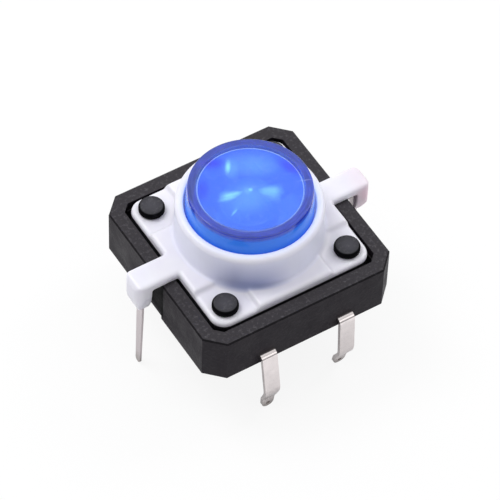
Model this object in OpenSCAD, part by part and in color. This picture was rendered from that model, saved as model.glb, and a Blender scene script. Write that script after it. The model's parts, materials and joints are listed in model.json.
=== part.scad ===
// Tactile push button switch, 12 x 12 mm, with a clear cap over a light.
// Origin: centre of the housing's underside, which sits on the circuit board.
// X runs along the two arms that carry the lamp's leads, Y towards the terminals.

/* [Housing] */
// Width of the square housing
body_w = 12; // [11.4:0.1:13]
// Cut across each outer corner
corner_cut = 1; // [0.6:0.05:1.2]
// Thickness of the wall round the cover
wall_t = 0.85; // [0.75:0.05:1]
// Cut across each corner of the cover's well
well_corner_cut = 0.45; // [0.3:0.05:0.55]
// Edge break round the top
edge_break = 0.08; // [0.04:0.01:0.15]
// Thickness of the floor
floor_t = 1; // [0.9:0.05:1.1]
// Room round the plunger
cavity_gap = 0.45; // [0.35:0.05:0.5]
// Width of the ledge round the snap dome's well
dome_ledge_w = 0.8; // [0.7:0.05:0.9]
// Depth of the well that centres the snap dome
dome_well_depth = 0.35; // [0.25:0.05:0.4]
// Width of the groove in the wall under each arm
groove_w = 1.4; // [1:0.1:2.2]
// Depth of the groove in the wall under each arm
groove_depth = 0.1; // [0.05:0.05:0.4]

/* [Pegs] */
// Distance of a peg's axis from the wall of the cover's well
peg_inset = 1.25; // [1.2:0.05:1.35]
// Diameter of a peg in the cover
peg_d = 1.1; // [0.9:0.05:1.2]
// Diameter of a staked peg head
peg_head_d = 1.48; // [1.3:0.02:1.6]
// Height of a staked peg head above the cover
peg_head_h = 0.45; // [0.4:0.05:0.6]
// Rounding of a peg head
peg_round = 0.18; // [0.1:0.02:0.22]

/* [Terminals] */
// Distance of a terminal's middle from the housing's side
terminal_inset = 3.5; // [3.3:0.05:3.7]
// Width of a terminal
terminal_w = 0.95; // [0.8:0.05:1.1]
// Thickness of the terminal sheet
terminal_t = 0.22; // [0.18:0.02:0.34]
// Floor material over a terminal
terminal_cover = 0.2; // [0.15:0.05:0.25]
// Length of a leg's straight part
leg_straight = 2.3; // [2:0.1:2.6]
// Radius of the bend at the top of a leg's kink
kink_r = 1; // [0.7:0.05:1.3]
// Turn of a leg's kink, degrees
kink_turn = 33; // [25:1:40]
// Length of the slanting part of a leg's kink
kink_l = 0.7; // [0.5:0.05:0.9]
// Radius of the bend at the foot of a leg's kink
kink_foot_r = 0.6; // [0.4:0.05:0.8]
// Length of a leg's end below the kink
leg_end = 0.75; // [0.65:0.05:0.95]
// Inward slant of a leg's end, degrees
leg_end_slant = 16; // [5:1:22]
// Width of a leg's end
leg_end_w = 0.72; // [0.6:0.02:0.76]
// Outward lean of the front left leg, degrees
lean_front_left = 10; // [0:1:11]
// Outward lean of the front right leg, degrees
lean_front_right = 3; // [-2:1:6]
// Outward lean of the two rear legs, degrees
lean_rear = 4; // [-2:1:8]

/* [Snap dome] */
// Rise of the dome
dome_rise = 0.35; // [0.32:0.01:0.4]
// Thickness of the dome sheet
dome_t = 0.1; // [0.06:0.02:0.12]
// Travel of the button
press_travel = 0.3; // [0.2:0.02:0.3]

/* [Cover] */
// Depth of the cover's seat below the top of the housing
seat_depth = 0.6; // [0.5:0.05:0.7]
// Thickness of an arm, and height of the cover's middle over the housing
arm_t = 0.5; // [0.45:0.05:0.6]
// Width of an arm
arm_w = 1.6; // [1.4:0.1:1.7]
// Step down from the cover's middle to its corners
corner_step = 0.25; // [0.1:0.05:0.3]
// Width of the sloping flanks of the raised middles
flank_w = 0.2; // [0.1:0.05:0.3]
// Distance of the raised middle of each side from the peg heads
middle_gap = 0.91; // [0.7:0.05:1.1]
// Plan radius of the cover's corners
cover_corner_r = 0.85; // [0.6:0.05:1]
// Rounding of the cover's top edges
cover_round = 0.22; // [0.1:0.02:0.26]
// Distance of a tab's inner face from the housing
tab_gap = 0.6; // [0.4:0.05:0.7]
// Thickness of a tab
tab_t = 0.95; // [0.8:0.05:1.1]
// Height of a tab's lowest point above the board
tab_low = 0.9; // [0.7:0.05:1.1]
// Plan radius of a tab's corners
tab_corner_r = 0.5; // [0.2:0.05:0.6]
// Rounding of a tab's top edge
tab_round = 0.34; // [0.2:0.02:0.4]
// Height of a tab's straight sides, from the arm's top
tab_side_h = 0.8; // [0.6:0.05:1.2]
// Radius of the round end under a tab
tab_end_r = 0.4; // [0.3:0.05:0.5]
// Draw-in of a tab's outer face at its end
tab_draw = 0.45; // [0.2:0.05:0.5]
// Rounding of a tab's inner edge at its end
tab_inner_r = 0.3; // [0.15:0.05:0.35]

/* [Collar] */
// Width of the cover's shelf outside the collar
shelf_w = 0.82; // [0.75:0.01:0.95]
// Thickness of the collar
collar_t = 0.5; // [0.4:0.05:0.55]
// Rounding of the collar's foot
foot_round = 0.45; // [0.3:0.05:0.5]
// Height of the collar over the cover's middle
collar_h = 2.25; // [2:0.05:2.6]
// Outer rounding of the collar's lip
lip_round = 0.3; // [0.1:0.05:0.3]
// Inner rounding of the collar's lip
lip_inner_round = 0.08; // [0.04:0.02:0.1]
// Depth of the shoulder that stops the cap, below the top of the housing
stop_depth = 0.2; // [0.1:0.05:0.3]

/* [Button cap] */
// Height of the cap above the collar
cap_proud = 1.2; // [1:0.05:1.5]
// Draw-in of the cap's side from the collar to its top
cap_taper = 0.11; // [0.04:0.01:0.2]
// Thickness of the cap's top
cap_top_t = 0.35; // [0.3:0.05:0.5]
// Thickness of the cap's wall
cap_wall = 0.5; // [0.42:0.02:0.54]
// Edge break round the cap's top
cap_edge = 0.06; // [0.03:0.01:0.1]
// Width of the flange round the cap's foot
flange_w = 0.4; // [0.3:0.02:0.42]
// Thickness of the flange round the cap's foot
flange_t = 0.38; // [0.34:0.02:0.42]
// Diameter of the cap's four pins
cap_pin_d = 0.5; // [0.4:0.02:0.54]
// Length of the cap's four pins
cap_pin_l = 0.35; // [0.2:0.05:0.4]

/* [Plunger] */
// Thickness of the plunger's disc
disc_t = 0.5; // [0.4:0.05:0.55]
// Diameter of the nub that presses the dome
nub_d = 1.4; // [1:0.1:1.8]
// Height of the nub that presses the dome
nub_h = 0.4; // [0.35:0.05:0.5]

/* [Light] */
// Diameter of the lens
lens_d = 3.2; // [3:0.05:3.3]
// Width of the flange round the lens
lens_flange_w = 0.3; // [0.2:0.05:0.4]
// Thickness of the flange round the lens
lens_flange_t = 0.35; // [0.25:0.05:0.4]
// Height of the lens's round top
lens_dome_h = 0.7; // [0.5:0.05:0.9]
// Room over the lens with the button pressed
lens_headroom = 0.1; // [0.05:0.05:0.3]
// Depth of the chip below the lens's round top
chip_depth = 0.9; // [0.7:0.05:1]
// Width of a lamp lead
lead_w = 0.58; // [0.4:0.02:0.6]
// Thickness of a lamp lead
lead_t = 0.12; // [0.1:0.02:0.24]
// Distance of a lamp lead from the housing
lead_gap = 0.86; // [0.84:0.02:0.96]
// Length of a lamp lead below the board's face
lead_drop = 4; // [3.4:0.1:4.05]
// Width of a lamp lead at its tip
lead_tip_w = 0.44; // [0.3:0.02:0.46]
// Outward lean of the lamp leads, degrees
lead_lean = 1.5; // [0:0.5:2]
// Diameter of the cup that holds the chip
cup_d = 1; // [0.9:0.05:1.1]
// Width of the light's chip
chip_w = 0.3; // [0.2:0.02:0.34]
// Thickness of the light's chip
chip_t = 0.15; // [0.1:0.01:0.18]
// Diameter of the bond wire
wire_d = 0.05; // [0.03:0.01:0.06]

/* [Clearances] */
// Gap round the cover in its well
cover_gap = 0.2; // [0.1:0.05:0.25]
// Radial gap of a peg in the cover
peg_gap = 0.06; // [0.04:0.01:0.1]
// Radial gap of the cap in the collar
cap_gap = 0.08; // [0.06:0.01:0.09]
// Gap of the cap's flange under its stop
stop_gap = 0.05; // [0.02:0.01:0.08]
// Gap between the nub and the dome
nub_gap = 0.02; // [0.01:0.01:0.04]
// Gap round the cap's flange in the cover
flange_gap = 0.12; // [0.08:0.02:0.16]
// Side gap of the cap's slots at the bridge
slot_gap = 0.2; // [0.1:0.05:0.3]
// Radial gap of the cap's pins in the plunger
pin_gap = 0.02; // [0.01:0.01:0.04]
// Gap round the lens in its ring
lens_gap = 0.05; // [0.03:0.01:0.08]
// Gap round a lamp lead in its channel
lead_clear = 0.05; // [0.03:0.01:0.06]
// Gap round the dome in its well
dome_gap = 0.1; // [0.06:0.01:0.15]

/* [Hidden] */
$fn = 64;
cut = 1;

// Heights, from the board up
terminal_top = floor_t - terminal_cover;
terminal_low = terminal_top - terminal_t;
dome_top = floor_t + dome_rise + dome_t;
contact_top = floor_t + dome_rise - press_travel;
disc_low = dome_top + nub_gap + nub_h;
cap_low = disc_low + disc_t;
shoulder_z = cap_low + flange_t + stop_gap;
body_h = shoulder_z + stop_depth;
seat_z = body_h - seat_depth;
middle_top = body_h + arm_t;
corner_top = middle_top - corner_step;
collar_top = middle_top + collar_h;
cap_top = collar_top + cap_proud;
cap_ceiling = cap_top - cap_top_t;
lens_top = cap_ceiling - press_travel - lens_headroom;
peg_top = corner_top + peg_head_h;

peg_root_z = (seat_z + floor_t + dome_well_depth) / 2;

// Plan sizes
well_w = body_w - 2 * wall_t;
cover_half = well_w / 2 - cover_gap;
peg_pos = well_w / 2 - peg_inset;
terminal_x = body_w / 2 - terminal_inset;
collar_d = 2 * (cover_half - shelf_w);
collar_bore = collar_d - 2 * collar_t;
cap_d = collar_bore - 2 * cap_gap;
cap_top_d = cap_d - 2 * cap_taper;
cap_inner_d = cap_d - 2 * cap_wall;
cap_pin_r = (cap_d - cap_wall) / 2;
flange_d = cap_d + 2 * flange_w;
shoulder_d = flange_d + 2 * flange_gap;
cavity_d = flange_d + 2 * cavity_gap;
dome_well_d = cavity_d - 2 * dome_ledge_w;
dome_d = dome_well_d - 2 * dome_gap;
middle_w = 2 * peg_pos - peg_head_d - 2 * middle_gap;
slot_w = arm_w + 2 * slot_gap;
tab_in = body_w / 2 + tab_gap;
tab_out = tab_in + tab_t;
tab_shoulder = middle_top - tab_side_h;
lead_x = body_w / 2 + lead_gap;
channel_w = lead_w + 2 * lead_clear;
channel_top = body_h + lead_t + lead_clear;

// Terminal bend: the strip turns down just outside the housing
bend_in = 0.15;
bend_out = bend_in + terminal_t;
bend_gap = 0.05;
bend_y = body_w / 2 + bend_gap;
bend_z = terminal_top - bend_out;
contact_d = 1;
window_d = 1.8;
rim_pad_l = 0.9;
rim_pad_inset = 0.15;
rim_pad_y = sqrt(pow(dome_d / 2, 2) - pow(terminal_x, 2)) - rim_pad_inset;
tooling_hole_d = 0.8;
tooling_hole_inset = 2.2;
tooling_hole_y = body_w / 2 - tooling_hole_inset;
dimple_d = 0.24;
dimple_depth = 0.05;
dimple_drop = 0.35;

// Centre of the bend at the foot of a leg's kink, and the height of a leg's tip
leg_foot = [
    terminal_t / 2 - kink_r + (kink_r + kink_foot_r) * cos(kink_turn) - kink_l * sin(kink_turn),
    -leg_straight - (kink_r + kink_foot_r) * sin(kink_turn) - kink_l * cos(kink_turn)
];
leg_tip_z = bend_z + leg_foot[1] + kink_foot_r * sin(leg_end_slant) - leg_end * cos(leg_end_slant);

// Lamp lead bend and the ring that holds the lens
lead_bend_in = 0.1;
lead_bend_out = lead_bend_in + lead_t;
lens_bore_d = lens_d + 2 * lens_gap;
ring_t = 0.3;
lens_shoulder = lens_top - lens_dome_h;
anode_x = 0.8;
cathode_x = -0.45;
wire_r = anode_x / 2;
chip_top = lens_shoulder - chip_depth;
cup_floor = chip_top - chip_t;
cup_depth = 0.22;
cup_floor_t = 0.13;
cup_floor_d = 0.5;
cup_rim_t = 0.08;

housing_color = "#2e2d32";
cover_color = "#ebe9f4";
metal_color = "#d0c8c6";
cap_color = "#2f6df0";
lens_color = "#cfe4ff";

// Square block with cut corners
module cut_block(w, h, c) {
    linear_extrude(h) intersection() {
        square(w, center = true);
        rotate(45) square((w - c) * sqrt(2), center = true);
    }
}

// Half of a section with a rounded top edge, from the middle line out to w
module soft_half(w, h, r) {
    square([w, h - r]);
    square([w - r, h]);
    translate([w - r, h - r]) circle(r);
}

module soft_section(w, h, r) {
    soft_half(w, h, r);
    mirror([1, 0]) soft_half(w, h, r);
}

// Square plate with rounded corners and a rounded top edge
module soft_plate(half, h, corner_r, r) {
    for (x = [-1, 1], y = [-1, 1])
        translate([x * (half - corner_r), y * (half - corner_r), 0])
            rotate_extrude() soft_half(corner_r, h, r);
    for (a = [0, 90])
        rotate([90, 0, a]) linear_extrude(2 * (half - corner_r), center = true)
            soft_section(half, h, r);
}

// Part of a flat ring between two angles, for the bends of a strip
module bend(r_in, r_out, from, to) {
    intersection() {
        difference() {
            circle(r_out);
            circle(r_in);
        }
        polygon([[0, 0], for (i = [0:2]) 2 * r_out * [
            cos(from + (to - from) * i / 2), sin(from + (to - from) * i / 2)]]);
    }
}

// Corner that a round edge of radius r takes away
module round_corner(r) {
    difference() {
        square(r + cut);
        circle(r);
    }
}

module peg_profile() {
    head_r = peg_head_d / 2;
    neck = (peg_head_d - peg_d) / 2;
    polygon([
        [0, peg_root_z], [peg_d / 2, peg_root_z], [peg_d / 2, corner_top],
        [head_r, corner_top + neck / 2], [head_r, peg_top - peg_round],
        [head_r - peg_round, peg_top - peg_round], [head_r - peg_round, peg_top], [0, peg_top]
    ]);
    translate([head_r - peg_round, peg_top - peg_round]) circle(peg_round);
}

module at_pegs() {
    for (x = [-1, 1], y = [-1, 1]) translate([x * peg_pos, y * peg_pos, 0]) children();
}

// Wedge that breaks the top edge of a wall at distance d from the middle
module edge_wedge(d) {
    translate([d, 0, body_h]) rotate([0, 45, 0])
        cube([edge_break * sqrt(2), 2 * body_w, edge_break * sqrt(2)], center = true);
}

module housing_block() {
    difference() {
        cut_block(body_w, body_h, corner_cut);
        for (a = [0:90:270]) {
            rotate(a) edge_wedge(body_w / 2);
            rotate(a + 45) edge_wedge((body_w - corner_cut) / sqrt(2));
        }
        translate([0, 0, seat_z]) cut_block(well_w, body_h, well_corner_cut);
        translate([0, 0, floor_t + dome_well_depth]) cylinder(d = cavity_d, h = body_h);
        translate([0, 0, floor_t]) cylinder(d = dome_well_d, h = body_h);
        translate([0, 0, terminal_top]) cylinder(d = window_d, h = body_h);
        for (s = [-1, 1]) {
            translate([s * body_w / 2, 0, body_h / 2])
                cube([2 * groove_depth, groove_w, body_h + cut], center = true);
            for (x = [-1, 1]) translate([x * terminal_x, s * tooling_hole_y, -cut])
                cylinder(d = tooling_hole_d, h = terminal_low + cut);
        }
    }
}

module housing() color(housing_color) difference() {
    union() {
        housing_block();
        at_pegs() rotate_extrude() peg_profile();
    }
    terminal_left_body();
    terminal_right_body();
}

// Disc that fills the sheet's thickness where a bend meets a straight
module bend_end(r, a) {
    rotate(a) translate([r, 0]) circle(d = terminal_t);
}

// Side view of one leg: the bend, the straight, the kink and the end
module leg_side(lean) {
    mid = bend_in + terminal_t / 2;
    half_t = terminal_t / 2;
    translate([bend_y, bend_z]) {
        bend(bend_in, bend_out, lean, 90);
        rotate(lean) {
            translate([bend_in, -leg_straight]) square([terminal_t, leg_straight]);
            translate([mid - kink_r, -leg_straight]) {
                bend(kink_r - half_t, kink_r + half_t, -kink_turn, 0);
                bend_end(kink_r, 0);
                bend_end(kink_r, -kink_turn);
                rotate(-kink_turn) translate([kink_r - half_t, -kink_l])
                    square([terminal_t, kink_l]);
            }
            translate([leg_foot[0] + bend_in, leg_foot[1]]) {
                bend(kink_foot_r - half_t, kink_foot_r + half_t, 180 - kink_turn, 180 - leg_end_slant);
                bend_end(kink_foot_r, 180 - kink_turn);
                bend_end(kink_foot_r, 180 - leg_end_slant);
                rotate(-leg_end_slant) translate([-kink_foot_r - half_t, -leg_end])
                    square([terminal_t, leg_end]);
            }
        }
    }
}

// Front view of a leg: straight, then drawn in to a round end
module leg_front() {
    neck_z = bend_z - leg_straight;
    tip_r = leg_end_w / 2;
    round_z = leg_tip_z + tip_r;
    polygon([
        [-terminal_w / 2, body_h], [-terminal_w / 2, neck_z], [-tip_r, round_z],
        [tip_r, round_z], [terminal_w / 2, neck_z], [terminal_w / 2, body_h]
    ]);
    translate([0, round_z]) circle(tip_r);
}

// One leg beyond the wall on the +Y side, with the mark that the bending tool leaves
module leg(lean) {
    difference() {
        intersection() {
            rotate([90, 0, 90]) linear_extrude(2 * terminal_w, center = true) leg_side(lean);
            rotate([90, 0, 0]) linear_extrude(3 * body_w, center = true) leg_front();
        }
        translate([0, bend_y, bend_z]) rotate([lean, 0, 0])
            translate([0, leg_foot[0] + bend_in, leg_foot[1]]) rotate([-leg_end_slant, 0, 0])
                translate([0, terminal_t / 2 - kink_foot_r + dimple_depth, -dimple_drop])
                    rotate([90, 0, 0]) cylinder(d = dimple_d, h = 2 * dimple_depth, $fn = 24);
    }
}

module terminal_strip() {
    translate([-terminal_w / 2, -bend_y, terminal_low]) cube([terminal_w, 2 * bend_y, terminal_t]);
}

module terminal_left_body() translate([-terminal_x, 0, 0]) {
    terminal_strip();
    mirror([0, 1, 0]) leg(lean_front_left);
    leg(lean_rear);
    for (s = [-1, 1])
        translate([-terminal_w / 2, s * rim_pad_y - rim_pad_l / 2, terminal_low])
            cube([terminal_w, rim_pad_l, floor_t - terminal_low]);
}

module terminal_right_body() {
    translate([terminal_x, 0, 0]) {
        terminal_strip();
        mirror([0, 1, 0]) leg(lean_front_right);
        leg(lean_rear);
    }
    translate([0, -terminal_w / 2, terminal_low]) cube([terminal_x, terminal_w, terminal_t]);
    translate([0, 0, terminal_low]) cylinder(d = contact_d, h = contact_top - terminal_low);
}

module terminal_left() color(metal_color) terminal_left_body();

module terminal_right() color(metal_color) terminal_right_body();

// Thin spherical cap that stands on its rim
module snap_dome() {
    r = (pow(dome_d / 2, 2) + pow(dome_rise, 2)) / (2 * dome_rise);
    color("silver") translate([0, 0, floor_t]) rotate_extrude($fn = 96) intersection() {
        translate([0, dome_rise - r]) difference() {
            circle(r + dome_t, $fn = 720);
            circle(r, $fn = 720);
        }
        square([dome_d / 2, 2 * dome_rise]);
    }
}

// The cap's pins stand in two pairs, clear of the slots
module at_cap_pins() {
    for (a = [60, 120, 240, 300]) rotate(a) translate([cap_pin_r, 0, 0]) children();
}

module plunger() color(cover_color) difference() {
    union() {
        translate([0, 0, disc_low]) cylinder(d = flange_d, h = disc_t);
        translate([0, 0, disc_low - nub_h]) cylinder(d = nub_d, h = nub_h + disc_t / 2);
    }
    at_cap_pins() translate([0, 0, disc_low - cut])
        cylinder(d = cap_pin_d + 2 * pin_gap, h = disc_t + 2 * cut);
}

module cap_profile() {
    r = cap_d / 2;
    top_r = cap_top_d / 2;
    inner_r = cap_inner_d / 2;
    flange_top = cap_low + flange_t;
    ceiling_r = top_r - cap_wall;
    difference() {
        polygon([
            [0, cap_low], [flange_d / 2, cap_low], [flange_d / 2, flange_top], [r, flange_top],
            [r, collar_top], [top_r, cap_top - cap_edge], [top_r - cap_edge, cap_top], [0, cap_top]
        ]);
        polygon([
            [-cut, cap_low - cut], [inner_r, cap_low - cut], [inner_r, collar_top],
            [ceiling_r, cap_ceiling - cap_edge], [ceiling_r - cap_edge, cap_ceiling], [-cut, cap_ceiling]
        ]);
    }
}

module button_cap() color(cap_color, 0.6) {
    difference() {
        rotate_extrude($fn = 96) cap_profile();
        translate([-body_w, -slot_w / 2, 0])
            cube([2 * body_w, slot_w, middle_top + press_travel + slot_gap]);
    }
    at_cap_pins() translate([0, 0, cap_low - cap_pin_l])
        cylinder(d = cap_pin_d, h = cap_pin_l + flange_t / 2);
}

// Raised middle of two opposite sides, with sloping flanks and rounded ends
module middle_bar() {
    half = middle_w / 2;
    intersection() {
        rotate([90, 0, 90]) linear_extrude(2 * cover_half, center = true) polygon([
            [-half - flank_w, seat_z], [half + flank_w, seat_z], [half + flank_w, corner_top],
            [half, middle_top], [-half, middle_top], [-half - flank_w, corner_top]
        ]);
        translate([0, 0, seat_z]) rotate([90, 0, 0]) linear_extrude(body_w, center = true)
            soft_section(cover_half, middle_top - seat_z, cover_round);
    }
}

// Radius of an arc that leaves a straight side and draws in by d over the length l
function draw_radius(d, l) = (pow(l, 2) + pow(d, 2)) / (2 * d);

// Side view of the right arm and its hanging tab, whose outer face draws in at its end
module arm_side() {
    fall = tab_shoulder - tab_low;
    side_r = draw_radius(tab_draw, fall);
    square_from(0, body_h, tab_in, middle_top);
    difference() {
        square_from(tab_in, tab_low, tab_out, middle_top);
        translate([tab_out - tab_round, middle_top - tab_round]) round_corner(tab_round);
        difference() {
            square_from(tab_in + tab_inner_r, tab_low - cut, tab_out + cut, tab_shoulder);
            translate([tab_out - side_r, tab_shoulder]) circle(side_r);
        }
        translate([tab_in + tab_inner_r, tab_low + tab_inner_r]) rotate(180)
            round_corner(tab_inner_r);
    }
}

// End view of the arm: rounded along its top, drawn in to a round end below
module arm_end() {
    half = arm_w / 2;
    fall = tab_shoulder - tab_low - tab_end_r;
    side_r = (pow(fall, 2) + pow(half, 2) - pow(tab_end_r, 2)) / (2 * (half - tab_end_r));
    touch_z = tab_low + tab_end_r * (1 - fall / (side_r - tab_end_r));
    translate([0, tab_shoulder]) soft_section(half, middle_top - tab_shoulder, cover_round);
    intersection() {
        translate([side_r - half, tab_shoulder]) circle(side_r);
        translate([half - side_r, tab_shoulder]) circle(side_r);
        square_from(-half, touch_z, half, tab_shoulder);
    }
    translate([0, tab_low + tab_end_r]) circle(tab_end_r);
}

// Plan of the arm, with rounded outer corners
module arm_plan() {
    half = arm_w / 2;
    difference() {
        translate([0, -half]) square([tab_out, arm_w]);
        for (s = [0, 1]) mirror([0, s])
            translate([tab_out - tab_corner_r, half - tab_corner_r]) round_corner(tab_corner_r);
    }
}

module arm() {
    intersection() {
        rotate([90, 0, 0]) linear_extrude(2 * arm_w, center = true) arm_side();
        rotate([90, 0, 90]) linear_extrude(tab_out + cut) arm_end();
        linear_extrude(2 * cap_top) arm_plan();
        translate([collar_d / 2 - collar_t / 2, -arm_w, 0]) cube([body_w, 2 * arm_w, cap_top]);
    }
}

module collar_profile() {
    in = collar_bore / 2;
    out = collar_d / 2;
    difference() {
        translate([in, shoulder_z]) square([collar_t, collar_top - shoulder_z]);
        translate([out - lip_round, collar_top - lip_round]) round_corner(lip_round);
        translate([in + lip_inner_round, collar_top - lip_inner_round])
            mirror([1, 0]) round_corner(lip_inner_round);
    }
    difference() {
        translate([out, corner_top]) square(foot_round);
        translate([out + foot_round, corner_top + foot_round]) circle(foot_round);
    }
}

// Bridge across the collar with the ring that holds the lens
module lens_bridge() {
    ring_d = lens_bore_d + 2 * ring_t;
    translate([0, 0, body_h]) difference() {
        union() {
            cylinder(d = ring_d, h = arm_t);
            translate([-collar_d / 2 + collar_t / 2, -arm_w / 2, 0])
                cube([collar_d - collar_t, arm_w, arm_t]);
        }
        translate([0, 0, -cut]) cylinder(d = lens_bore_d, h = arm_t + 2 * cut);
    }
}

module cover() color(cover_color) difference() {
    union() {
        difference() {
            union() {
                translate([0, 0, seat_z])
                    soft_plate(cover_half, corner_top - seat_z, cover_corner_r, cover_round);
                middle_bar();
                rotate(90) middle_bar();
            }
            translate([0, 0, seat_z - cut]) cylinder(d = collar_bore, h = cap_top);
            translate([0, 0, shoulder_z - body_h]) cylinder(d = shoulder_d, h = body_h);
            at_pegs() translate([0, 0, seat_z - cut])
                cylinder(d = peg_d + 2 * peg_gap, h = cap_top);
        }
        rotate_extrude($fn = 96) collar_profile();
        for (s = [0, 1]) mirror([s, 0, 0]) arm();
        lens_bridge();
    }
    translate([0, 0, channel_top / 2])
        cube([2 * (lead_x + lead_t / 2 + lead_clear / 2), channel_w, channel_top], center = true);
}

module lens_body() {
    r = lens_d / 2;
    dome_r = (pow(r, 2) + pow(lens_dome_h, 2)) / (2 * lens_dome_h);
    foot_z = body_h - lens_flange_t;
    rotate_extrude() {
        square_from(0, foot_z, r + lens_flange_w, body_h);
        square_from(0, foot_z, r, lens_shoulder);
        intersection() {
            translate([0, lens_top - dome_r]) circle(dome_r, $fn = 128);
            square_from(0, lens_shoulder - lens_dome_h, r, lens_top);
        }
    }
}

// Rectangle between two corners
module square_from(x0, y0, x1, y1) {
    translate([x0, y0]) square([x1 - x0, y1 - y0]);
}

module led_lens() color(lens_color, 0.5) difference() {
    lens_body();
    cathode_body();
    anode_body();
    chip_body();
    wire_body();
    translate([0, 0, cup_floor]) cube([chip_w / 2, chip_w / 2, chip_t], center = true);
    for (x = [0, anode_x]) translate([x, 0, chip_top])
        cylinder(d = wire_d, h = wire_d, center = true, $fn = 16);
}

// Side view of a lamp lead: post in the lens, run along the arm, drop outside
module lead_side(post_x, post_top) {
    foot = [post_x - lead_t / 2 + lead_bend_out, body_h + lead_bend_out];
    knee = [lead_x + lead_t / 2 - lead_bend_out, body_h + lead_t - lead_bend_out];
    square_from(post_x - lead_t / 2, foot[1], post_x + lead_t / 2, post_top);
    translate(foot) bend(lead_bend_in, lead_bend_out, 180, 270);
    square_from(foot[0], body_h, knee[0], body_h + lead_t);
    translate(knee) {
        bend(lead_bend_in, lead_bend_out, lead_lean, 90);
        rotate(lead_lean) translate([lead_bend_in, -lead_drop - knee[1]])
            square([lead_t, lead_drop + knee[1]]);
    }
}

// End view of a lead, drawn in to a round tip
module lead_end(post_top) {
    tip_r = lead_tip_w / 2;
    tip_z = -lead_drop + tip_r;
    polygon([
        [-lead_w / 2, post_top], [-lead_w / 2, 0], [-tip_r, tip_z], [tip_r, tip_z],
        [lead_w / 2, 0], [lead_w / 2, post_top]
    ]);
    translate([0, tip_z]) circle(tip_r);
}

module lead(post_x, post_top) {
    intersection() {
        rotate([90, 0, 0]) linear_extrude(2 * lead_w, center = true) lead_side(post_x, post_top);
        rotate([90, 0, 90]) linear_extrude(body_w) lead_end(post_top);
    }
}

// The cathode lead runs to the left arm and carries the cup with the chip
module cathode_body() {
    rim_r = cup_d / 2;
    mouth_r = rim_r - cup_rim_t;
    mouth_z = cup_floor + cup_depth;
    mirror([1, 0, 0]) lead(-cathode_x, cup_floor);
    rotate_extrude() difference() {
        square_from(0, cup_floor - cup_floor_t, rim_r, mouth_z);
        polygon([
            [0, cup_floor], [cup_floor_d / 2, cup_floor], [mouth_r, mouth_z],
            [mouth_r, mouth_z + cut], [0, mouth_z + cut]
        ]);
    }
}

module anode_body() {
    lead(anode_x, chip_top);
}

module chip_body() {
    translate([-chip_w / 2, -chip_w / 2, cup_floor]) cube([chip_w, chip_w, chip_t]);
}

module wire_body() {
    translate([wire_r, 0, chip_top]) rotate([90, 0, 0])
        rotate_extrude(angle = 180) translate([wire_r, 0]) circle(d = wire_d, $fn = 16);
}

module led_cathode_lead() color(metal_color) cathode_body();

module led_anode_lead() color(metal_color) anode_body();

module led_chip() color("#6f8fd8") chip_body();

module led_bond_wire() color("gold") wire_body();

housing();
terminal_left();
terminal_right();
snap_dome();
plunger();
button_cap();
cover();
led_lens();
led_cathode_lead();
led_anode_lead();
led_chip();
led_bond_wire();
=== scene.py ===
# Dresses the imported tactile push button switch: soft studio light, one camera,
# moulded plastics, a clear blue cap over its light, and tinned metal legs.
import json
import math

import bpy
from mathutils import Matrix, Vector

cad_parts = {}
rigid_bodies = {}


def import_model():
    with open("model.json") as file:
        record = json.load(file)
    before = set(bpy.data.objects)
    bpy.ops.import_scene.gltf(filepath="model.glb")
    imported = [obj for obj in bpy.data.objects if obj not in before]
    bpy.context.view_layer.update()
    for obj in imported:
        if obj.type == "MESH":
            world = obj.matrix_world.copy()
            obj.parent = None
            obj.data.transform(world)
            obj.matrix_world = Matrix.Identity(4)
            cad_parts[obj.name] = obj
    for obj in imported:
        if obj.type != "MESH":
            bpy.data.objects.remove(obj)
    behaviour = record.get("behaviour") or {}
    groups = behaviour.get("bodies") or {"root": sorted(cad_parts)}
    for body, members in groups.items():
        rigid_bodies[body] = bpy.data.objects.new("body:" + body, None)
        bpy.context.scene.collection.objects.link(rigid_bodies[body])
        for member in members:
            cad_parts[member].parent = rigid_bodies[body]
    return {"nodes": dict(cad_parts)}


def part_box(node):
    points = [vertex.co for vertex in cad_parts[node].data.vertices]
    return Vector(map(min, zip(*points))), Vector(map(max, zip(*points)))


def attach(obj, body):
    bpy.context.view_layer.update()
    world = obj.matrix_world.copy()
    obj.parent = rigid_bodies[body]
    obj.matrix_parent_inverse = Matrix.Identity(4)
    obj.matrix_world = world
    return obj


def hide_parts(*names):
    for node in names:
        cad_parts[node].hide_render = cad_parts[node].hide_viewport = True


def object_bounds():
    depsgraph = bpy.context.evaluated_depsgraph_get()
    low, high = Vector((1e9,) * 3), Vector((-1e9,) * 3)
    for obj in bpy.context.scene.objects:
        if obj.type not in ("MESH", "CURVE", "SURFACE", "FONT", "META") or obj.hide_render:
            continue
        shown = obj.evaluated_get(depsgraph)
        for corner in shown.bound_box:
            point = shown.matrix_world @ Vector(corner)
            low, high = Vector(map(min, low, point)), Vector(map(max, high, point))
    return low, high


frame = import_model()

cadLow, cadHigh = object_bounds()
mm = 0.001
nodes = frame["nodes"]
print("frame loaded:", len(nodes), "nodes")


# camera

camera = {
    "place": (-65.435, -99.419, 153.162),   # mm
    "turn": (38.094, -1.404, -31.613),      # degrees about X, Y and Z
    "lens": 250.87,
    "sensor": 36,
    "clip": (0.01, 2.0),                    # m
}


def makeCamera():
    data = bpy.data.cameras.new("photoCamera")
    data.sensor_width = camera["sensor"]
    data.lens = camera["lens"]
    data.clip_start, data.clip_end = camera["clip"]
    cam = bpy.data.objects.new("photoCamera", data)
    cam.location = Vector(camera["place"]) * mm
    cam.rotation_euler = [math.radians(a) for a in camera["turn"]]
    bpy.context.scene.collection.objects.link(cam)
    bpy.context.scene.camera = cam


makeCamera()
bpy.context.scene.view_settings.view_transform = "Standard"
print("camera ready")


# modelling helpers

crease = 30     # degrees: edges sharper than this stay crisp
seam = 1e-7     # m: points nearer than this are merged after a spin


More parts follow.
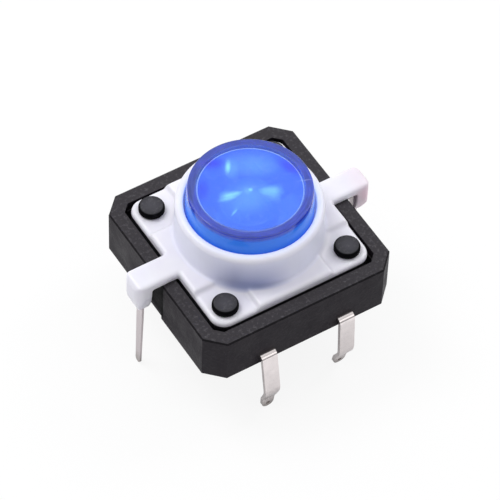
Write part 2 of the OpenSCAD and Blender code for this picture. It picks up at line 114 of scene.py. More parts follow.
def deselectAll():
    if bpy.context.object and bpy.context.object.mode != "OBJECT":
        bpy.ops.object.mode_set(mode="OBJECT")
    bpy.ops.object.select_all(action="DESELECT")


def pickUp(piece):
    deselectAll()
    bpy.context.view_layer.objects.active = piece
    piece.select_set(True)


def turned(name, outline, steps):
    # a piece turned about Z: the outline is drawn point by point in mm, then spun round
    deselectAll()
    bpy.ops.mesh.primitive_plane_add(size=mm)
    piece = bpy.context.object
    piece.name = name
    bpy.ops.object.mode_set(mode="EDIT")
    bpy.ops.mesh.merge(type="CENTER")
    radius, height = outline[0]
    bpy.ops.transform.translate(value=(radius * mm, 0, height * mm))
    for nextRadius, nextHeight in outline[1:]:
        step = ((nextRadius - radius) * mm, 0, (nextHeight - height) * mm)
        bpy.ops.mesh.extrude_vertices_move(TRANSFORM_OT_translate={"value": step})
        radius, height = nextRadius, nextHeight
    bpy.ops.mesh.select_all(action="SELECT")
    bpy.ops.mesh.spin(steps=steps, angle=2 * math.pi, center=(0, 0, 0), axis=(0, 0, 1))
    # the spin's seam and the points on the axis are closed
    bpy.ops.mesh.select_all(action="SELECT")
    bpy.ops.mesh.remove_doubles(threshold=seam)
    bpy.ops.mesh.normals_make_consistent(inside=False)
    bpy.ops.object.mode_set(mode="OBJECT")
    return piece


def arc(middle, radius, start, end, count):
    # points along an arc, in mm and degrees
    turns = [math.radians(start + (end - start) * i / count) for i in range(count + 1)]
    return [(middle[0] + radius * math.cos(a), middle[1] + radius * math.sin(a)) for a in turns]


def joinTool(piece, tool, operation):
    # cuts the tool out of the piece, or adds it, and takes the tool away
    pickUp(piece)
    cut = piece.modifiers.new("cut", "BOOLEAN")
    cut.operation = operation
    cut.object = tool
    cut.solver = "EXACT"
    bpy.ops.object.modifier_apply(modifier=cut.name)
    bpy.data.objects.remove(tool)


def smoothed(piece):
    pickUp(piece)
    bpy.ops.object.shade_smooth_by_angle(angle=math.radians(crease))


def setMaterial(piece, material):
    piece.data.materials.clear()
    piece.data.materials.append(material)


def settle(piece, material, node, body):
    # the finished piece stands for a node of the frame and rides on its body
    setMaterial(piece, material)
    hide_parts(node)
    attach(piece, body)


# node helpers for the materials

noiseSpan = (0.3, 0.7)      # nearly all of a noise lies between these values
patchCore = 0.1             # share of an oval patch that is fully in
allHeights = 1000           # m: a patch counts at any height


def newMaterial(name):
    material = bpy.data.materials.new(name)
    material.use_nodes = True
    tree = material.node_tree
    tree.nodes.clear()
    out = tree.nodes.new("ShaderNodeOutputMaterial")
    shader = tree.nodes.new("ShaderNodeBsdfPrincipled")
    tree.links.new(shader.outputs[0], out.inputs[0])
    return material, tree, shader


def addNode(tree, kind, **values):
    node = tree.nodes.new("ShaderNode" + kind)
    for name, value in values.items():
        if name in node.inputs:
            node.inputs[name].default_value = value
        else:
            setattr(node, name, value)
    return node


def objectPlace(tree):
    return tree.nodes.new("ShaderNodeTexCoord").outputs["Object"]


def noiseOf(tree, place, grain, detail, rough):
    # grain is the size of the pattern in mm
    noise = addNode(tree, "TexNoise", Scale=1 / (grain * mm), Detail=detail, Roughness=rough)
    tree.links.new(place, noise.inputs["Vector"])
    return noise.outputs["Fac"]


def rampOf(tree, source, stops):
    # a ramp of greys: each stop has its place and its strength
    ramp = tree.nodes.new("ShaderNodeValToRGB")
    while len(ramp.color_ramp.elements) < len(stops):
        ramp.color_ramp.elements.new(0.5)
    for element, (at, strength) in zip(ramp.color_ramp.elements, stops):
        element.position = at
        element.color = (strength, strength, strength, 1)
    tree.links.new(source, ramp.inputs[0])
    return ramp.outputs[0]


def mixOf(tree, factor, first, second):
    mix = addNode(tree, "Mix", data_type="RGBA")
    for socket, value in ((mix.inputs[0], factor), (mix.inputs[6], first), (mix.inputs[7], second)):
        if isinstance(value, tuple):
            socket.default_value = (*value, 1)
        else:
            tree.links.new(value, socket)
    return mix.outputs[2]


def rangeOf(tree, source, fromLow, fromHigh, toLow=0.0, toHigh=1.0):
    node = tree.nodes.new("ShaderNodeMapRange")
    for name, value in (("From Min", fromLow), ("From Max", fromHigh),
                        ("To Min", toLow), ("To Max", toHigh)):
        node.inputs[name].default_value = value
    tree.links.new(source, node.inputs["Value"])
    return node.outputs[0]


def mathOf(tree, operation, first, second=None):
    node = addNode(tree, "Math", operation=operation)
    for socket, value in zip(node.inputs, (first, second)):
        if isinstance(value, (int, float)):
            socket.default_value = value
        elif value is not None:
            tree.links.new(value, socket)
    return node.outputs[0]


def product(tree, first, *others):
    # masks laid over one another: full only where all of them are
    for other in others:
        first = mathOf(tree, "MULTIPLY", first, other)
    return first


def highest(tree, first, *others):
    # masks side by side: the strongest one counts
    for other in others:
        first = mathOf(tree, "MAXIMUM", first, other)
    return first


def opposite(tree, mask):
    return rangeOf(tree, mask, 0.0, 1.0, 1.0, 0.0)


def axisPlace(tree, axis):
    # the place along one axis, in metres
    split = tree.nodes.new("ShaderNodeSeparateXYZ")
    tree.links.new(objectPlace(tree), split.inputs[0])
    return split.outputs[axis]


def offMiddle(tree, axis):
    # the distance to either side of the middle, along one axis
    return mathOf(tree, "ABSOLUTE", axisPlace(tree, axis))


def fromAxis(tree):
    # the distance from the button's axis
    return mathOf(tree, "SQRT", mathOf(tree, "ADD",
                                       mathOf(tree, "POWER", axisPlace(tree, "X"), 2.0),
                                       mathOf(tree, "POWER", axisPlace(tree, "Y"), 2.0)))


def above(tree, source, low, high):
    # rises from 0 to 1 between two places in mm
    return rangeOf(tree, source, low * mm, high * mm)


def below(tree, source, low, high):
    # falls from 1 to 0 between two places in mm
    return rangeOf(tree, source, low * mm, high * mm, 1.0, 0.0)


def between(tree, source, low, high, soft):
    # 1 between two places in mm, falling to 0 over the soft width outside them
    return product(tree, above(tree, source, low - soft, low),
                   below(tree, source, high, high + soft))


def patchAt(tree, place, turn, size, fourfold=False):
    # 1 in the middle of an oval patch seen from above, 0 at its edge; mm and degrees
    # fourfold repeats it in all four corners
    local = addNode(tree, "Mapping", vector_type="TEXTURE")
    local.inputs["Location"].default_value = (place[0] * mm, place[1] * mm, 0)
    local.inputs["Rotation"].default_value = (0, 0, math.radians(turn))
    local.inputs["Scale"].default_value = (size[0] * mm, size[1] * mm, allHeights)
    where = objectPlace(tree)
    if fourfold:
        corner = addNode(tree, "VectorMath", operation="ABSOLUTE")
        tree.links.new(where, corner.inputs[0])
        where = corner.outputs[0]
    tree.links.new(where, local.inputs["Vector"])
    far = addNode(tree, "VectorMath", operation="LENGTH")
    tree.links.new(local.outputs[0], far.inputs[0])
    edge = addNode(tree, "MapRange", interpolation_type="SMOOTHSTEP")
    for name, value in (("From Min", patchCore), ("From Max", 1.0),
                        ("To Min", 1.0), ("To Max", 0.0)):
        edge.inputs[name].default_value = value
    tree.links.new(far.outputs["Value"], edge.inputs["Value"])
    return edge.outputs[0]


def bumpOf(tree, height, depth, strength, under=None):
    # depth is the height of the relief in mm
    bump = addNode(tree, "Bump", Strength=strength, Distance=depth * mm)
    tree.links.new(height, bump.inputs["Height"])
    if under is not None:
        tree.links.new(under, bump.inputs["Normal"])
    return bump.outputs[0]


def facing(tree, axis):
    # how much of the surface's own normal points along an axis, from -1 to 1
    split = tree.nodes.new("ShaderNodeSeparateXYZ")
    tree.links.new(tree.nodes.new("ShaderNodeTexCoord").outputs["Normal"], split.inputs[0])
    return split.outputs[axis]


def roughen(tree, shader, noise, rough):
    # the noise carries the roughness from one value to the other
    tree.links.new(rangeOf(tree, noise, *noiseSpan, *rough), shader.inputs["Roughness"])


# black housing: a spark-eroded top, smoother sides; the top's paler tone is partly its eroded
# finish and partly painted light from above, and the sides and edge are painted darker as shade

housingLook = {
    "top": (0.037, 0.034, 0.039),
    "side": (0.017, 0.014, 0.019),
    "rim": (0.007, 0.006, 0.008),       # painted shade along the broken edge between top and side
    "paintedShade": (0.003, 0.003, 0.004),      # painted shade in the well, under the arms, on the sides of the pegs
    "pale": (0.095, 0.091, 0.100),      # specks
    # painted highlight in the middle of a peg's head
    "peg": (0.060, 0.059, 0.070),
    "pegRimShade": (0.030, 0.030, 0.034),   # painted shade on the peg, round the painted highlight in its middle
    "pegHighlightSpot": (3.90, 0.95),            # mm: the pegs' place and half the width of the painted highlight in the middle
    "sheen": 0.12,
    "deepSheen": 0.02,
    "rough": (0.42, 0.60),
    "fine": (0.2, 4.0, 0.65),           # mm, detail and roughness of a noise
    "broad": (1.3, 3.0, 0.6),
    "speckSpan": (0.52, 0.72),          # the part of the fine noise that makes specks
    "speckPeak": 0.8,
    "sideSpecks": 0.2,                  # share of the specks that the sides have
    "relief": 0.03,                     # mm
    "fineBump": 0.7,
    "broadBump": 0.3,
    # where each part begins or ends, in mm, or by how far it faces up
    "flatUp": (0.93, 0.99),
    "edgeUp": (0.15, 0.5),
    "wellReach": (5.05, 5.12),
    "wellTop": (2.85, 2.95),
    "pegFoot": (3.0, 3.1),
    "pegStem": (3.1, 3.2),
    "pegHead": (3.5, 3.6),
    "pegSideUp": (0.80, 0.94),
    "pegTopUp": (0.88, 0.96),
    "armWidth": (0.87, 0.93),
    "armWall": (5.7, 5.8),
    "armFoot": (0.1, 0.4),
    "armUp": (0.3, 0.6),
}


def housingPlastic():
    material, tree, shader = newMaterial("housingPlastic")
    look = housingLook
    place = objectPlace(tree)
    fine = noiseOf(tree, place, *look["fine"])
    broad = noiseOf(tree, place, *look["broad"])
    height = axisPlace(tree, "Z")
    upward = facing(tree, "Z")
    flat = rangeOf(tree, upward, *look["flatUp"])
    # by facing: the top painted lighter as light from above falls on it, the sides and the broken
    # edge painted darker as shade
    base = mixOf(tree, rangeOf(tree, upward, *look["edgeUp"]), look["side"], look["rim"])
    base = mixOf(tree, flat, base, look["top"])
    # the well under the cover is painted dark as shade
    reach = highest(tree, offMiddle(tree, "X"), offMiddle(tree, "Y"))
    well = product(tree, below(tree, reach, *look["wellReach"]),
                   below(tree, height, *look["wellTop"]))
    base = mixOf(tree, well, base, look["paintedShade"])
    # the pegs: painted shade round the side, a painted highlight in the middle of the head
    pegSide = product(tree, above(tree, height, *look["pegFoot"]),
                      rangeOf(tree, upward, *look["pegSideUp"], 1.0, 0.0))
    base = mixOf(tree, above(tree, height, *look["pegStem"]), base, look["pegRimShade"])
    base = mixOf(tree, pegSide, base, look["paintedShade"])
    at, wide = look["pegHighlightSpot"]
    pegTop = product(tree, patchAt(tree, (at, at), 0, (wide, wide), fourfold=True),
                     above(tree, height, *look["pegHead"]),
                     rangeOf(tree, upward, *look["pegTopUp"]))
    base = mixOf(tree, pegTop, base, look["peg"])
    # the wall behind an arm's tab is in its shade
    behind = product(tree, below(tree, offMiddle(tree, "Y"), *look["armWidth"]),
                     above(tree, offMiddle(tree, "X"), *look["armWall"]),
                     above(tree, height, *look["armFoot"]),
                     rangeOf(tree, upward, *look["armUp"], 1.0, 0.0))
    base = mixOf(tree, behind, base, look["paintedShade"])
    # the parts painted dark as shade have no specks and hardly any sheen
    dark = highest(tree, behind, well, pegSide)
    specks = product(tree, rangeOf(tree, fine, *look["speckSpan"], 0.0, look["speckPeak"]),
                     rangeOf(tree, flat, 0.0, 1.0, look["sideSpecks"], 1.0), opposite(tree, dark))
    tree.links.new(mixOf(tree, specks, base, look["pale"]), shader.inputs["Base Color"])
    tree.links.new(rangeOf(tree, dark, 0.0, 1.0, look["sheen"], look["deepSheen"]),
                   shader.inputs["Specular IOR Level"])
    roughen(tree, shader, broad, look["rough"])
    relief = bumpOf(tree, fine, look["relief"], look["fineBump"])
    relief = bumpOf(tree, broad, look["relief"], look["broadBump"], relief)
    tree.links.new(relief, shader.inputs["Normal"])
    return material


# white cover and plunger

coverLook = {
    "white": (0.82, 0.81, 0.88),
    "grey": (0.78, 0.77, 0.86),
    "collar": (0.80, 0.81, 0.95),       # painted blue light, where the blue cap would shine through the thin collar
    "foot": (0.34, 0.38, 0.62),         # painted shade at the collar's foot, on its front corner
    "footShadePatch": ((-2.2, -3.6), 55, (1.7, 3.0)),    # place, turn and half lengths
    "gapShade": (0.02, 0.02, 0.025),       # painted shade on the cover's edge that stands in the housing's well
    "rose": (0.74, 0.52, 0.62),         # cast on the right tab
    "roseOnTop": 0.25,                  # share of the cast on the tab's top
    "rough": (0.30, 0.42),
    "clouds": (1.6, 2.0, 0.5),          # mm, detail and roughness of a noise
    "cloudSpan": (0.35, 0.65),          # the part of the clouds between grey and white
    "castSpan": (0.3, 0.6),             # and the part that the cast follows
    "castLeast": 0.5,
    "fine": (0.22, 3.0, 0.5),
    "scatter": 0.35,
    "depth": 0.5,                       # mm
    "bleed": (1.0, 0.9, 1.0),
    "relief": 0.004,                    # mm
    "bump": 0.4,
    # where each part lies, in mm; a third number is the soft width outside
    "collarRing": (3.5, 4.3, 0.1),
    "collarHeight": (3.7, 5.3, 0.4),
    "footRing": (3.9, 4.2, 0.25),
    "footHeight": (3.8, 5.6),
    "gapShadeReach": (3.5, 5.4, 0.1),
    "gapShadeTop": (2.92, 2.99),
    "tabStart": (6.0, 7.0),
    "tabTop": (3.0, 3.5),
}


def whitePlastic():
    material, tree, shader = newMaterial("whitePlastic")
    look = coverLook
    place = objectPlace(tree)
    clouds = noiseOf(tree, place, *look["clouds"])
    fine = noiseOf(tree, place, *look["fine"])
    height = axisPlace(tree, "Z")
    base = mixOf(tree, rangeOf(tree, clouds, *look["cloudSpan"]), look["grey"], look["white"])
    # painted blue light on the collar's outer wall
    wall = product(tree, between(tree, fromAxis(tree), *look["collarRing"]),
                   between(tree, height, *look["collarHeight"]))
    base = mixOf(tree, wall, base, look["collar"])
    # painted shade at the collar's foot, on its front corner
    foot = product(tree, patchAt(tree, *look["footShadePatch"]),
                   between(tree, fromAxis(tree), *look["footRing"]),
                   below(tree, height, *look["footHeight"]))
    base = mixOf(tree, foot, base, look["foot"])
    # painted shade on the cover's sides down in the housing's well
    reach = highest(tree, offMiddle(tree, "X"), offMiddle(tree, "Y"))
    gapShade = product(tree, between(tree, reach, *look["gapShadeReach"]),
                    below(tree, height, *look["gapShadeTop"]))
    base = mixOf(tree, gapShade, base, look["gapShade"])
    low, high = look["tabTop"]
    cast = product(tree, above(tree, axisPlace(tree, "X"), *look["tabStart"]),
                   rangeOf(tree, height, low * mm, high * mm, 1.0, look["roseOnTop"]),
                   rangeOf(tree, clouds, *look["castSpan"], look["castLeast"], 1.0))
    tree.links.new(mixOf(tree, cast, base, look["rose"]), shader.inputs["Base Color"])
    roughen(tree, shader, fine, look["rough"])
    shader.inputs["Subsurface Weight"].default_value = look["scatter"]
    shader.inputs["Subsurface Radius"].default_value = look["bleed"]
    shader.inputs["Subsurface Scale"].default_value = look["depth"] * mm
    tree.links.new(bumpOf(tree, fine, look["relief"], look["bump"]), shader.inputs["Normal"])
    return material


# tinned sheet metal

metalLook = {
    "bright": (0.85, 0.79, 0.785),
    "dull": (0.77, 0.715, 0.71),
    "tip": (0.42, 0.385, 0.375),        # greyer at the legs' lower ends
    "tipHeight": (-3.7, -3.0),          # mm
    "lead": (0.62, 0.56, 0.575),        # the thin lamp leads are duller
    "leadFrom": (6.3, 6.4),             # mm to either side
    "rough": (0.13, 0.18),
    "rolled": (0.12, 4.0, 0.6),         # mm, detail and roughness of a noise
    "stretch": 0.15,                    # the rolling marks run along Z
    "blotch": (0.5, 3.0, 0.6),
    "blotchSpan": (0.35, 0.7),
    "relief": 0.0004,                   # mm
    "bump": 0.3,
}


def tinnedMetal():
    material, tree, shader = newMaterial("tinnedMetal")
    look = metalLook
    place = objectPlace(tree)
    streak = addNode(tree, "Mapping", Scale=(1, 1, look["stretch"]))
    tree.links.new(place, streak.inputs["Vector"])
    rolled = noiseOf(tree, streak.outputs[0], *look["rolled"])
    blotch = noiseOf(tree, place, *look["blotch"])
    colour = mixOf(tree, rangeOf(tree, blotch, *look["blotchSpan"]), look["bright"], look["dull"])
    outside = above(tree, offMiddle(tree, "X"), *look["leadFrom"])
    colour = mixOf(tree, outside, colour, look["lead"])
    tip = below(tree, axisPlace(tree, "Z"), *look["tipHeight"])
    tree.links.new(mixOf(tree, tip, colour, look["tip"]), shader.inputs["Base Color"])
    roughen(tree, shader, rolled, look["rough"])
    shader.inputs["Metallic"].default_value = 1.0
    tree.links.new(bumpOf(tree, rolled, look["relief"], look["bump"]), shader.inputs["Normal"])
    return material


# the small metal pieces inside

hiddenLook = {
    "snap_dome": ("domeSteel", (0.75, 0.75, 0.76), (0.15, 0.27)),       # name, colour, roughness
    "led_bond_wire": ("goldWire", (0.95, 0.70, 0.25), (0.12, 0.24)),
    "led_chip": ("chipCrystal", (0.25, 0.40, 0.80), (0.30, 0.42)),
}
hiddenGrain = (0.08, 3.0, 0.5)      # mm, detail and roughness of a noise
hiddenDark = 0.8                    # share of the colour that the dark specks keep


def plainMetal(name, colour, rough):
    material, tree, shader = newMaterial(name)
    fine = noiseOf(tree, objectPlace(tree), *hiddenGrain)
    dark = tuple(hiddenDark * c for c in colour)
    tone = mixOf(tree, rangeOf(tree, fine, *noiseSpan), dark, colour)
    tree.links.new(tone, shader.inputs["Base Color"])
    roughen(tree, shader, fine, rough)
    shader.inputs["Metallic"].default_value = 1.0
    return material


# clear plastics: lamps shine through them, and a little of the light is scattered back as haze

capLook = {
    "middle": (0.23, 0.44, 1.0),
    "rim": (0.07, 0.11, 0.42),
    "rimStreak": (0.11, 0.155, 0.58),
    "streaks": (0.09, 2.0, 0.5),    # fine turned lines: mm, detail and roughness of a noise
    "streakSpan": (0.35, 0.65),
    "streakTurn": 1.5,              # mm that the streaks' pattern moves on in one turn
    "side": (0.055, 0.265, 1.0),
    "violet": (0.15, 0.15, 0.90),
    "line": (0.004, 0.03, 0.50),    # painted shade: a dark line just under the top's edge
    "lineHaze": 0.95,
    "pale": (0.85, 0.90, 1.0),      # painted highlight: a pale line in the inner corner of the top
    "paleHaze": 0.9,
    "gleam": (0.55, 1.0, 1.0),      # painted soft lights and highlights
    "gleamHaze": 0.8,
    "shade": (0.92, 0.97, 1.0),     # what a lamp's light keeps at each surface
    "clear": 0.88,
    "rimClear": 0.50,
    "sideClear": 0.14,
    "shine": 0.5,
    "sideShine": 0.15,
    "mottle": 0.12,
    "mottleGrain": (0.35, 4.0, 0.6),
    "mottleSpan": (0.45, 0.75),
    "fine": (0.5, 2.0, 0.5),
    "rough": (0.03, 0.06),
    "ior": 1.49,
    # painted soft lights and reflections, and violet patches in the plastic: place, turn, half
    # lengths and strength
    "lights": [((-0.23, 1.95), 56, (0.75, 0.26), 1.0), ((-0.1, 1.75), 56, (1.1, 0.7), 0.35),
               ((1.1, 1.3), 56, (1.2, 1.9), 0.30), ((-1.56, -0.90), 25, (0.45, 0.10), 0.8),
               ((-0.4, -0.5), 0, (1.9, 1.5), 0.25), ((-1.30, 0.10), 170, (0.85, 0.28), 0.9),
               ((0.95, -0.72), -40, (0.85, 0.40), 0.6), ((-0.17, -0.02), 0, (0.5, 0.5), 0.4)],
    "lightTint": 0.5,
    "violets": [((-0.9, 2.5), 70, (0.5, 1.0), 0.9), ((2.6, 0.2), 20, (0.5, 1.2), 0.8),
                ((-2.3, 1.2), 56, (1.1, 0.5), 0.6)],
    "gate": ((2.75, -1.05), -21, (0.75, 0.06)),
    "gateShare": 0.25,
    # painted highlights of the turned spot in two opposite fans, as turned faces reflect: share of
    # a turn, strength
    "fans": [(0.00, 0.55), (0.03, 0.0), (0.31, 0.0), (0.37, 0.7), (0.42, 0.7),
             (0.47, 0.0), (0.92, 0.0), (0.965, 1.0), (1.00, 0.55)],
    # where each part lies, in mm; a third number is the soft width outside
    "ring": (2.87, 2.93, 0.02),
    "insideTop": (6.50, 6.61, 0.01),
    "ceiling": (6.59, 6.61, 0.01),
    "turnedSpot": (0.75, 1.35, 0.5),
    "point": (0.05, 0.2),
    "rimStart": (2.92, 3.05),
    "sideTop": (6.5, 6.8),
    "lineHeight": (6.78, 6.86, 0.02),
    "lineStart": (3.3, 3.35),
    "topFace": (6.9, 6.94),
}

lensLook = {
    "resin": (0.50, 0.68, 1.0),
    # painted highlight on the dome's edge
    "edge": (1.0, 1.0, 1.0),
    "shade": (0.93, 0.96, 1.0),
    "clear": 0.70,
    "fine": (0.5, 2.0, 0.5),
    "rough": (0.06, 0.10),
    "ior": 1.53,
    "rim": (1.53, 1.62, 0.04),          # mm from the axis: painted highlight on the dome's edge
    "rimHeight": (5.44, 5.56, 0.03),
}


def shineThrough(tree, shader, shade):
    # lamps reach what lies behind the plastic
    through = tree.nodes.new("ShaderNodeBsdfTransparent")
    through.inputs["Color"].default_value = (*shade, 1)
    mix = tree.nodes.new("ShaderNodeMixShader")
    tree.links.new(tree.nodes.new("ShaderNodeLightPath").outputs["Is Shadow Ray"], mix.inputs[0])
    tree.links.new(shader.outputs[0], mix.inputs[1])
    tree.links.new(through.outputs[0], mix.inputs[2])
    tree.links.new(mix.outputs[0], tree.nodes["Material Output"].inputs[0])


def capPlastic():
    material, tree, shader = newMaterial("capPlastic")
    look = capLook
    radius = fromAxis(tree)
    height = axisPlace(tree, "Z")
    ceiling = between(tree, height, *look["ceiling"])
    insideTop = between(tree, height, *look["insideTop"])
    rim = above(tree, radius, *look["rimStart"])
    side = below(tree, height, *look["sideTop"])
    # the middle of the top, and its rim with fine turned lines
    sweep = addNode(tree, "TexGradient", gradient_type="RADIAL")
    tree.links.new(objectPlace(tree), sweep.inputs[0])
    across = addNode(tree, "CombineXYZ")
    tree.links.new(radius, across.inputs[0])
    along = mathOf(tree, "MULTIPLY", sweep.outputs["Fac"], look["streakTurn"] * mm)
    tree.links.new(along, across.inputs[1])
    lines = noiseOf(tree, across.outputs[0], *look["streaks"])
    streaks = rangeOf(tree, lines, *look["streakSpan"])
    blue = mixOf(tree, rim, look["middle"], mixOf(tree, streaks, look["rim"], look["rimStreak"]))
    # painted highlights: the fans of the turned spot, its point, and the soft lights on the ceiling
    glow = product(tree, between(tree, radius, *look["turnedSpot"]), ceiling,
                   rampOf(tree, sweep.outputs["Fac"], look["fans"]))
    glow = highest(tree, glow, product(tree, below(tree, radius, *look["point"]), insideTop))
    for place, turn, size, strength in look["lights"]:
        light = product(tree, patchAt(tree, place, turn, size), strength)
        blue = mixOf(tree, product(tree, light, look["lightTint"]), blue, look["gleam"])
        glow = highest(tree, glow, product(tree, light, ceiling))
    for place, turn, size, strength in look["violets"]:
        patch = product(tree, patchAt(tree, place, turn, size), strength)
        blue = mixOf(tree, patch, blue, look["violet"])
    # the side, and the painted dark line of shade that parts it from the rim
    blue = mixOf(tree, side, blue, look["side"])
    line = product(tree, between(tree, height, *look["lineHeight"]),
                   above(tree, radius, *look["lineStart"]))
    blue = mixOf(tree, line, blue, look["line"])
    blue = mixOf(tree, glow, blue, look["gleam"])
    # the pale ring, a painted highlight, and the mark of the gate
    ring = product(tree, between(tree, radius, *look["ring"]), insideTop)
    gate = product(tree, patchAt(tree, *look["gate"]), above(tree, height, *look["topFace"]))
    pale = highest(tree, ring, product(tree, gate, look["gateShare"]))
    tree.links.new(mixOf(tree, pale, blue, look["pale"]), shader.inputs["Base Color"])
    # haze takes the clearness away
    mottle = noiseOf(tree, objectPlace(tree), *look["mottleGrain"])
    haze = highest(tree, product(tree, pale, look["paleHaze"]),
                   product(tree, glow, look["gleamHaze"]),
                   product(tree, line, look["lineHaze"]),
                   rangeOf(tree, mottle, *look["mottleSpan"], 0.0, look["mottle"]))
    clear = mathOf(tree, "MINIMUM", rangeOf(tree, rim, 0.0, 1.0, look["clear"], look["rimClear"]),
                   rangeOf(tree, side, 0.0, 1.0, 1.0, look["sideClear"]))
    tree.links.new(product(tree, clear, opposite(tree, haze)), shader.inputs["Transmission Weight"])
    roughen(tree, shader, noiseOf(tree, objectPlace(tree), *look["fine"]), look["rough"])
    tree.links.new(rangeOf(tree, side, 0.0, 1.0, look["shine"], look["sideShine"]),
                   shader.inputs["Specular IOR Level"])
    shader.inputs["IOR"].default_value = look["ior"]
    shineThrough(tree, shader, look["shade"])
    return material


def lensResin():
    material, tree, shader = newMaterial("lensResin")
    look = lensLook
    # a painted highlight on the dome's edge, white and not clear
    rim = product(tree, between(tree, fromAxis(tree), *look["rim"]),
                  between(tree, axisPlace(tree, "Z"), *look["rimHeight"]))
    tree.links.new(mixOf(tree, rim, look["resin"], look["edge"]), shader.inputs["Base Color"])
    tree.links.new(rangeOf(tree, rim, 0.0, 1.0, look["clear"], 0.0),
                   shader.inputs["Transmission Weight"])
    roughen(tree, shader, noiseOf(tree, objectPlace(tree), *look["fine"]), look["rough"])
    shader.inputs["IOR"].default_value = look["ior"]
    shineThrough(tree, shader, look["shade"])
    return material


black = housingPlastic()
white = whitePlastic()
tinned = tinnedMetal()
setMaterial(nodes["housing"], black)
setMaterial(nodes["cover"], white)
setMaterial(nodes["plunger"], white)
for name in ("terminal_left", "terminal_right", "led_cathode_lead", "led_anode_lead"):
    setMaterial(nodes[name], tinned)
for name, look in hiddenLook.items():
    setMaterial(nodes[name], plainMetal(*look))
capBlue = capPlastic()
lensClear = lensResin()
print("materials ready")


# clear cap: skirt and flange turned in one outline, slots cut for the bridge, four pins under it

cap = {
    "skirt": 3.55,              # radius at the collar
    "top": 3.44,                # radius at the top
    "wall": 0.5,
    "crown": 0.35,              # thickness of the top
    "edge": 0.07,               # rounding of the top edge
    "edgeSteps": 6,
    "flange": 0.38,
    "taperFrom": 5.75,          # height where the side starts to lean in
    "pip": (0.12, 0.04),        # radius and depth of the point in the middle of the ceiling
    "slot": (9.0, 1.0, 4.0),    # half length, half width and height of the bridge's slots
    "pin": (0.25, 3.3, 0.35),   # radius, distance and length
    "pinTurns": (60, 120, 240, 300),    # degrees
    "pinRoot": 0.2,             # how far a pin reaches into the flange
    "pinSides": 24,
    "steps": 160,
}


def makeCap():
    low, high = (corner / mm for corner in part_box("button_cap"))
    pinRadius, pinDistance, pinLength = cap["pin"]
    foot = low.z + pinLength
    flangeTop = foot + cap["flange"]
    inner = cap["skirt"] - cap["wall"]
    ceiling = high.z - cap["crown"]
    ceilingRadius = cap["top"] - cap["wall"]
    edge = cap["edge"]
    pipRadius, pipDepth = cap["pip"]
    outline = [(inner, foot), (high.y, foot), (high.y, flangeTop), (cap["skirt"], flangeTop),
               (cap["skirt"], cap["taperFrom"])]
    outline += arc((cap["top"] - edge, high.z - edge), edge, 0, 90, cap["edgeSteps"])
    outline += [(0, high.z), (0, ceiling - pipDepth), (pipRadius, ceiling)]
    outline += arc((ceilingRadius - edge, ceiling - edge), edge, 90, 0, cap["edgeSteps"])
    outline += [(inner, cap["taperFrom"]), (inner, foot)]
    piece = turned("capShell", outline, cap["steps"])
    deselectAll()
    # a cube of size 2, so that its scale is its half lengths
    bpy.ops.mesh.primitive_cube_add(size=2, location=(0, 0, 0),
                                    scale=tuple(half * mm for half in cap["slot"]))
    joinTool(piece, bpy.context.object, "DIFFERENCE")
    for turn in cap["pinTurns"]:
        at = math.radians(turn)
        deselectAll()
        bpy.ops.mesh.primitive_cylinder_add(
            vertices=cap["pinSides"], radius=pinRadius * mm,
            depth=(pinLength + cap["pinRoot"]) * mm,
            location=(pinDistance * mm * math.cos(at), pinDistance * mm * math.sin(at),
                      (foot - pinLength / 2 + cap["pinRoot"] / 2) * mm))
        joinTool(piece, bpy.context.object, "UNION")
    smoothed(piece)
    settle(piece, capBlue, "button_cap", "button")


# clear lens of the light

lens = {
    "radius": 1.6,
    "flange": 0.35,
    "dome": 0.7,
    "domePoints": 24,
    "steps": 96,
}


def makeLens():
    low, high = (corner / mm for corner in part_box("led_lens"))
    shoulder = low.z + lens["flange"]
    ball = (lens["radius"] ** 2 + lens["dome"] ** 2) / (2 * lens["dome"])
    lean = math.degrees(math.asin(lens["radius"] / ball))
    outline = [(0, low.z), (high.x, low.z), (high.x, shoulder), (lens["radius"], shoulder)]
    outline += arc((0, high.z - ball), ball, 90 - lean, 90, lens["domePoints"])
    piece = turned("lampLens", outline, lens["steps"])
    smoothed(piece)
    settle(piece, lensClear, "led_lens", "base")


makeCap()
makeLens()
print("cap and lens ready")


# cover: a merged copy of the CAD cover, its sharp edges melted as a moulding's are

cover = {
    "weld": 0.001,          # mm
    "skin": 0.065,          # mm between points
    "melt": 0.5,            # how far a pass draws a point to its neighbours
    "passes": 6,
    "shrink": 0.9999,       # a hair smaller, so that it stays inside the CAD size
}


def makeCover():
    pickUp(nodes["cover"])
    bpy.ops.object.duplicate()
    piece = bpy.context.object
    bpy.ops.object.parent_clear(type="CLEAR_KEEP_TRANSFORM")
    piece.name = "coverMoulding"
    for tag in list(piece.keys()):
        del piece[tag]
    bpy.ops.object.mode_set(mode="EDIT")
    bpy.ops.mesh.select_all(action="SELECT")
    bpy.ops.mesh.remove_doubles(threshold=cover["weld"] * mm)
    bpy.ops.object.mode_set(mode="OBJECT")
    skin = piece.modifiers.new("evenSkin", "REMESH")
    skin.mode = "VOXEL"
    skin.voxel_size = cover["skin"] * mm
    melt = piece.modifiers.new("softEdges", "SMOOTH")
    melt.factor = cover["melt"]
    melt.iterations = cover["passes"]
    pickUp(piece)
    for name in ("evenSkin", "softEdges"):
        bpy.ops.object.modifier_apply(modifier=name)
    bpy.ops.object.mode_set(mode="EDIT")
    bpy.ops.mesh.select_all(action="SELECT")
    bpy.ops.transform.resize(value=(cover["shrink"],) * 3, center_override=(0, 0, 0))
    bpy.ops.object.mode_set(mode="OBJECT")
    bpy.ops.object.shade_smooth()
    settle(piece, white, "cover", "base")


makeCover()
print("cover ready")


# floor, world and lamps

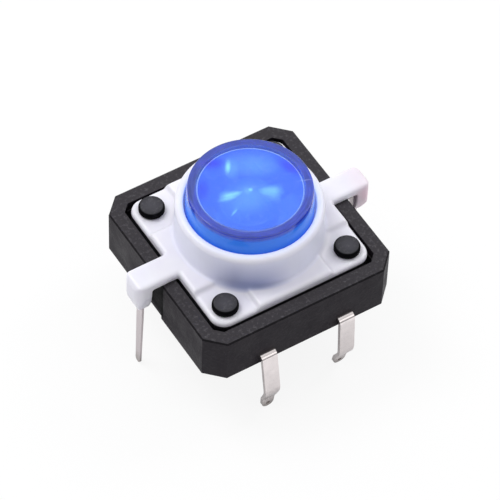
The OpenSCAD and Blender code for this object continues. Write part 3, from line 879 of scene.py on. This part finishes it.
studio = {
    "floorTone": (0.92, 0.92, 0.93),
    "floorGlow": 0.88,              # share of plain white in what the camera sees of it
    "floorSize": 2,                 # m
    "low": 0.20,                    # strength of the darkest part of the room
    "high": 1.10,                   # and of the brightest
    "bright": (0.08, 0.42, 0.90),   # direction of the brightest part
    "spread": (-0.25, 0.8),         # how far towards it the darkest and the brightest lie
    "glossShare": 0.15,             # how much of the white backdrop shows in metal
    "aim": (0, 0, 3),               # mm: where the lamps point
    # place and size in mm, power in watts
    "lamps": {
        "keyLamp": ((-40, 60, 120), 60, 0.075),
        "sideLamp": ((100, 5, 95), 45, 0.031),
        "frontLamp": ((48, -125, 77), 70, 0.012),   # weak: the bright line on the legs' bends
    },
}


def seenClearly(tree):
    # 1 where the camera sees a thing straight or through clear plastic, less in a shiny surface
    seen = tree.nodes.new("ShaderNodeLightPath").outputs
    shiny = mathOf(tree, "MULTIPLY", seen["Is Glossy Ray"], studio["glossShare"])
    return highest(tree, seen["Is Camera Ray"], seen["Is Transmission Ray"], shiny)


def makeFloor():
    deselectAll()
    bpy.ops.mesh.primitive_plane_add(size=studio["floorSize"], location=(0, 0, cadLow.z))
    floor = bpy.context.object
    floor.name = "studioFloor"
    material = bpy.data.materials.new("studioFloor")
    material.use_nodes = True
    tree = material.node_tree
    tree.nodes.clear()
    out = tree.nodes.new("ShaderNodeOutputMaterial")
    paper = tree.nodes.new("ShaderNodeBsdfDiffuse")
    paper.inputs["Color"].default_value = (*studio["floorTone"], 1)
    glow = tree.nodes.new("ShaderNodeEmission")
    glow.inputs["Strength"].default_value = 1.0
    mix = tree.nodes.new("ShaderNodeMixShader")
    tree.links.new(mathOf(tree, "MULTIPLY", seenClearly(tree), studio["floorGlow"]), mix.inputs[0])
    tree.links.new(paper.outputs[0], mix.inputs[1])
    tree.links.new(glow.outputs[0], mix.inputs[2])
    tree.links.new(mix.outputs[0], out.inputs[0])
    setMaterial(floor, material)


def makeWorld():
    world = bpy.data.worlds.new("studioWorld")
    bpy.context.scene.world = world
    world.use_nodes = True
    tree = world.node_tree
    tree.nodes.clear()
    out = tree.nodes.new("ShaderNodeOutputWorld")
    sky = tree.nodes.new("ShaderNodeBackground")
    # the room is brightest overhead, towards the back
    towards = addNode(tree, "VectorMath", operation="DOT_PRODUCT")
    tree.links.new(tree.nodes.new("ShaderNodeTexCoord").outputs["Generated"], towards.inputs[0])
    towards.inputs[1].default_value = studio["bright"]
    room = rangeOf(tree, towards.outputs["Value"], *studio["spread"], studio["low"], studio["high"])
    white = addNode(tree, "Mix", data_type="FLOAT")
    white.inputs[3].default_value = 1.0
    tree.links.new(seenClearly(tree), white.inputs[0])
    tree.links.new(room, white.inputs[2])
    tree.links.new(white.outputs[0], sky.inputs["Strength"])
    tree.links.new(sky.outputs[0], out.inputs[0])


def makeLamp(name, place, size, power):
    data = bpy.data.lights.new(name, "AREA")
    data.shape = "SQUARE"
    data.size = size * mm
    data.energy = power
    lamp = bpy.data.objects.new(name, data)
    lamp.location = Vector(place) * mm
    sight = Vector(studio["aim"]) - Vector(place)
    lamp.rotation_euler = sight.to_track_quat("-Z", "Y").to_euler()
    bpy.context.scene.collection.objects.link(lamp)


makeFloor()
makeWorld()
for name, values in studio["lamps"].items():
    makeLamp(name, *values)
print("studio ready")
